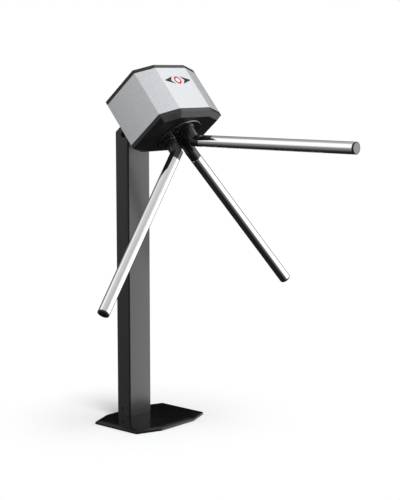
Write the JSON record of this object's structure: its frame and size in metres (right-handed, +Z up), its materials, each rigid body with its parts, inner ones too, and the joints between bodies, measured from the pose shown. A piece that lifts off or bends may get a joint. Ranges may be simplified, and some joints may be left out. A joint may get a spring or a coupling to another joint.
{
  "type": "tripod turnstile",
  "caption": "Tripod turnstile on a square post: a tilted faceted silver head turns chromed tubular arms about a slanted shaft to let one person through at a time.",
  "frame": {"origin": "centre of the base flange's underside, on the floor", "axes": "+Z up; +X across the passage, along the level barrier arm; +Y along the passage"},
  "size_m": [0.8597, 0.8316, 1.0746],
  "materials": {
    "black_paint": "satin powder coat",
    "zinc_steel": "zinc plated sheet steel",
    "bolt_steel": "plated steel",
    "machined_steel": "turned and ground",
    "cast_housing": "cast, machined bores",
    "black_plastic": "fine grain",
    "arm_plastic": "satin",
    "chrome": "polished",
    "silver_shell": "metallic silver, hammered grain",
    "ring_red": "lens",
    "cap_white": "lens, unlit",
    "arrow_dark": "smoked lens, unlit",
    "grommet_rubber": "soft",
    "circuit_board": "solder mask",
    "device_plastic": "moulded",
    "brass": "turned"
  },
  "bodies": {
    "stand": {"base_flange": "zinc_steel", "base_cover": "black_paint", "post": "black_paint", "post_cap": "black_plastic", "neck_saddle": "black_paint", "post_bolts": "bolt_steel", "head_bolts": "bolt_steel", "cable_grommet": "grommet_rubber", "chassis": "zinc_steel", "tie_rods": "zinc_steel", "bearing_housing": "cast_housing", "housing_bolts": "bolt_steel", "front_bearing": "machined_steel", "rear_bearing": "machined_steel", "bezel": "black_plastic", "bezel_screws": "bolt_steel", "shell": "silver_shell", "back_cover": "black_plastic", "cover_screws": "bolt_steel", "ring_lens": "ring_red", "ring_cap": "cap_white", "arrow_lens_a": "arrow_dark", "arrow_lens_b": "arrow_dark", "indicator_board": "circuit_board", "indicator_bracket": "zinc_steel", "control_board": "circuit_board", "board_parts": "device_plastic", "board_spacers": "brass", "lock_plate": "zinc_steel", "plate_posts": "zinc_steel", "pawl_pins": "zinc_steel", "pawl_springs": "bolt_steel", "solenoid_a": "device_plastic", "solenoid_b": "device_plastic", "encoder_sensor": "device_plastic", "damper_unit": "device_plastic", "lock_body": "chrome", "lock_switch": "device_plastic"},
    "rotor": {"hub_plate": "black_paint", "rotor_shaft": "machined_steel", "lock_wheel": "machined_steel", "encoder_disc": "machined_steel", "hub_screws": "bolt_steel", "root_bolts": "bolt_steel", "arm_root_a": "arm_plastic", "arm_root_b": "arm_plastic", "arm_root_c": "arm_plastic", "arm_tube_a": "chrome", "arm_tube_b": "chrome", "arm_tube_c": "chrome", "arm_tip_a": "arm_plastic", "arm_tip_b": "arm_plastic", "arm_tip_c": "arm_plastic", "arm_screws": "bolt_steel"},
    "pawl_a": {"pawl_a": "machined_steel"},
    "pawl_b": {"pawl_b": "machined_steel"},
    "plunger_a": {"plunger_a": "machined_steel"},
    "plunger_b": {"plunger_b": "machined_steel"},
    "lock_plug": {"lock_plug": "brass"}
  },
  "joints": [
    {"name": "rotor_turn", "type": "hinge", "parent": "stand", "child": "rotor", "pos_m": [0.1356, 0, 0.85832], "axis": [0.6428, 0, -0.766], "continuous": true},
    {"name": "pawl_a_swing", "type": "hinge", "parent": "stand", "child": "pawl_a", "pos_m": [0.02663, 0.05, 0.91974], "axis": [0.6428, 0, -0.766], "range_deg": [0, 11], "stiffness_Nm_per_rad": 0.2, "springref_deg": -17.19},
    {"name": "pawl_b_swing", "type": "hinge", "parent": "stand", "child": "pawl_b", "pos_m": [0.02663, -0.05, 0.91974], "axis": [-0.6428, 0, 0.766], "range_deg": [0, 11], "stiffness_Nm_per_rad": 0.2, "springref_deg": -17.19},
    {"name": "plunger_a_push", "type": "slide", "parent": "stand", "child": "plunger_a", "axis": [0, -1, 0], "range_m": [0, 0.0085]},
    {"name": "plunger_b_push", "type": "slide", "parent": "stand", "child": "plunger_b", "axis": [0, 1, 0], "range_m": [0, 0.0085]},
    {"name": "release_key_turn", "type": "hinge", "parent": "stand", "child": "lock_plug", "pos_m": [-0.02577, 0, 0.97798], "axis": [-0.6428, 0, 0.766], "range_deg": [0, 90]}
  ],
  "couplings": [
    {"joint": "plunger_a_push", "follows": "pawl_a_swing", "m_per_rad": 0.0415},
    {"joint": "plunger_b_push", "follows": "pawl_b_swing", "m_per_rad": 0.0415}
  ]
}
